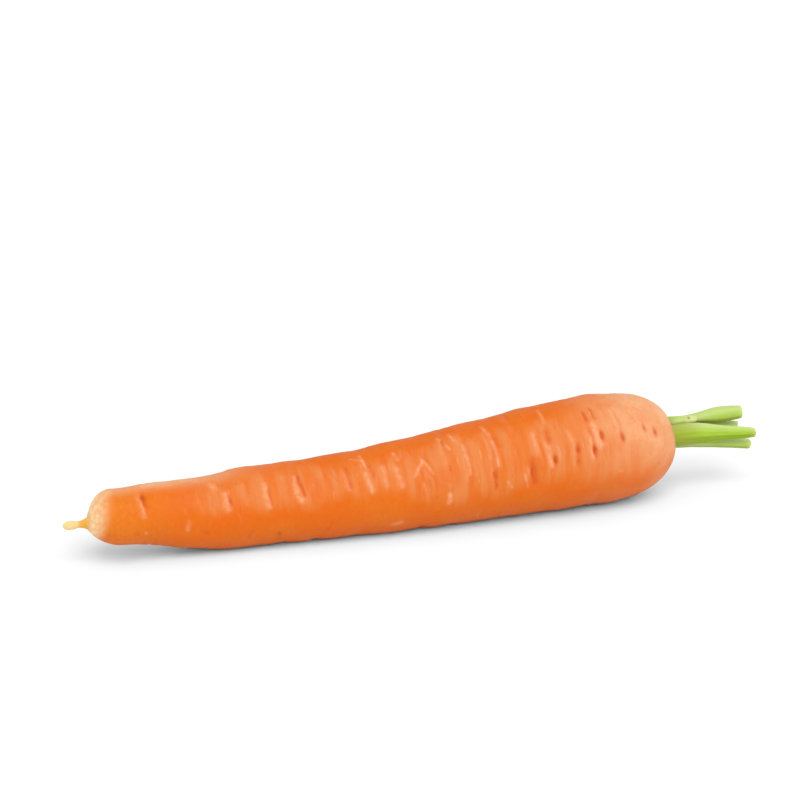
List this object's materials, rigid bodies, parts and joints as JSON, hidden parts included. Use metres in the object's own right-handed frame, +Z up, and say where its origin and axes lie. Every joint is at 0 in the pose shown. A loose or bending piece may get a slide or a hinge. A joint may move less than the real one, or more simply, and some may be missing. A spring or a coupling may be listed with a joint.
{
  "type": "carrot",
  "caption": "Orange carrot lying on its side: a long blunt-tipped root with creased skin and a thin tail, and short trimmed green leaf stalks standing in its crown.",
  "frame": {"origin": "on the surface that the carrot lies on, under the middle of its whole box", "axes": "+X runs along the root from its thin tail to its crown and leaf stalks, +Z is up, and the underside rests on z = 0"},
  "size_m": [0.2356, 0.036, 0.0362],
  "materials": {
    "carrot_skin": "satin",
    "green_stalk": "satin",
    "old_leaf_base": "matte"
  },
  "bodies": {
    "root": {"root": "carrot_skin", "stalk_front": "green_stalk", "stalk_low": "green_stalk", "stalk_back": "green_stalk", "stalk_upper": "green_stalk", "stalk_inner": "green_stalk", "leaf_base_old": "old_leaf_base"}
  },
  "joints": []
}
